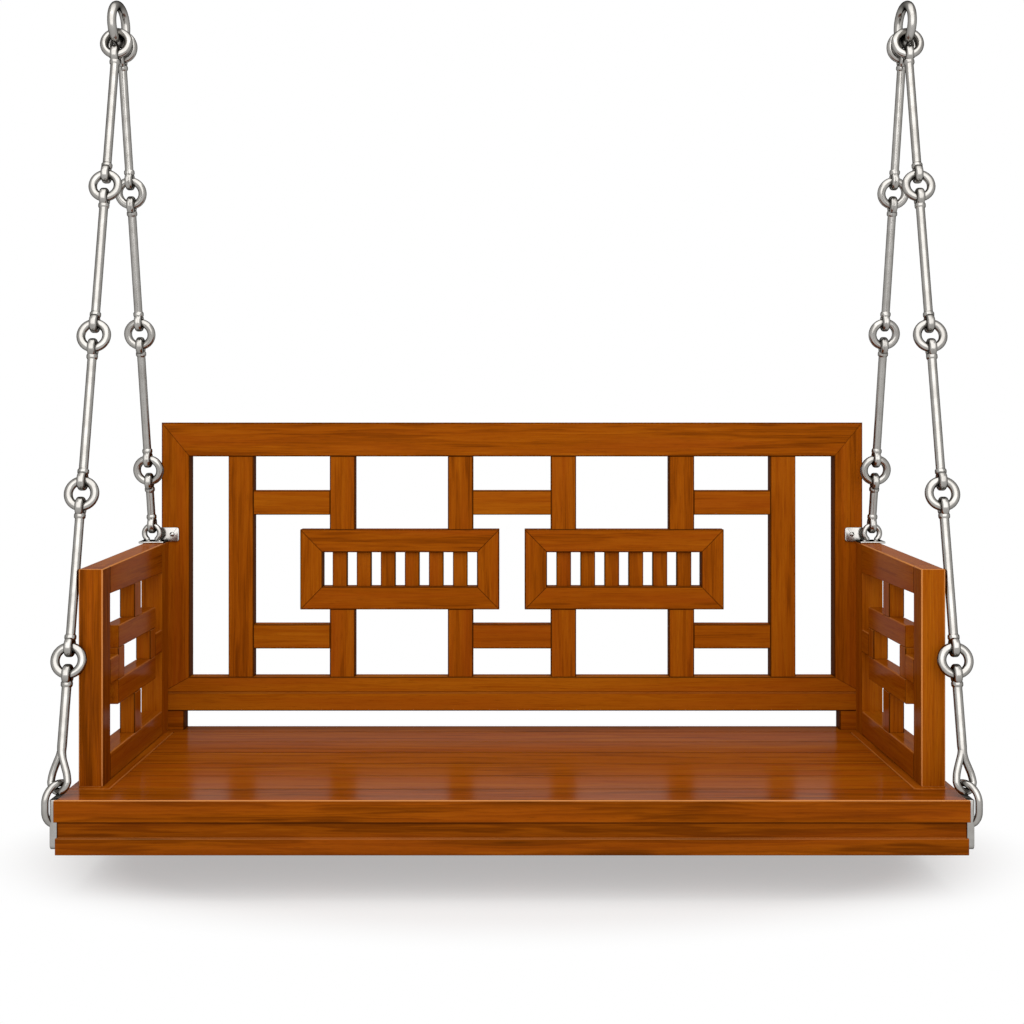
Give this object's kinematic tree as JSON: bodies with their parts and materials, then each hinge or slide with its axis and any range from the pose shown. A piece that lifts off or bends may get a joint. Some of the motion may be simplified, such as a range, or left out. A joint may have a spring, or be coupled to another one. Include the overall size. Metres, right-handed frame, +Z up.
{
  "type": "hanging swing bench",
  "caption": "Wooden jhoola swing bench with a lattice back and arms, hung from two top rings by linked steel rods and rings.",
  "frame": {"origin": "middle of the seat's underside, where the middle bearer ends", "axes": "+X to the sitter's left hand as seen from the front (the viewer's right), +Y from the front edge to the back, +Z up"},
  "size_m": [1.5782, 0.6057, 1.526],
  "materials": {
    "teak": "gloss",
    "steel": "polished"
  },
  "bodies": {
    "hangers": {"left_top_ring": "steel", "right_top_ring": "steel"},
    "bench": {"back_base_rail": "teak", "back_bottom_rail": "teak", "back_legs": "teak", "back_top_rail": "teak", "bracket_screws": "steel", "cross_bars": "teak", "front_apron": "teak", "front_board": "teak", "hook_screws": "steel", "left_arm_foot_rail": "teak", "left_arm_front_stile": "teak", "left_arm_lattice": "teak", "left_arm_rear_stile": "teak", "left_arm_top_rail": "teak", "left_back_stile": "teak", "left_end_board": "teak", "left_front_hook": "steel", "left_front_rings": "steel", "left_front_rods": "steel", "left_hook_rod": "steel", "left_outer_upright": "teak", "left_panel_rails": "teak", "left_panel_stiles": "teak", "left_rear_bracket": "steel", "left_rear_rings": "steel", "left_rear_rods": "steel", "left_short_rod": "steel", "left_side_apron": "teak", "left_slats": "teak", "rear_apron": "teak", "rear_board": "teak", "right_arm_foot_rail": "teak", "right_arm_front_stile": "teak", "right_arm_lattice": "teak", "right_arm_rear_stile": "teak", "right_arm_top_rail": "teak", "right_back_stile": "teak", "right_end_board": "teak", "right_front_hook": "steel", "right_front_rings": "steel", "right_front_rods": "steel", "right_hook_rod": "steel", "right_outer_upright": "teak", "right_panel_rails": "teak", "right_panel_stiles": "teak", "right_rear_bracket": "steel", "right_rear_rings": "steel", "right_rear_rods": "steel", "right_short_rod": "steel", "right_side_apron": "teak", "right_slats": "teak", "seat_bearers": "teak", "seat_plank_1": "teak", "seat_plank_2": "teak", "seat_plank_3": "teak", "seat_plank_4": "teak", "seat_plank_5": "teak", "short_uprights": "teak"}
  },
  "joints": [
    {"name": "swing_hinge", "type": "hinge", "parent": "hangers", "child": "bench", "pos_m": [0, 0.056, 1.482], "axis": [1, 0, 0], "range_deg": [-30, 30]}
  ]
}
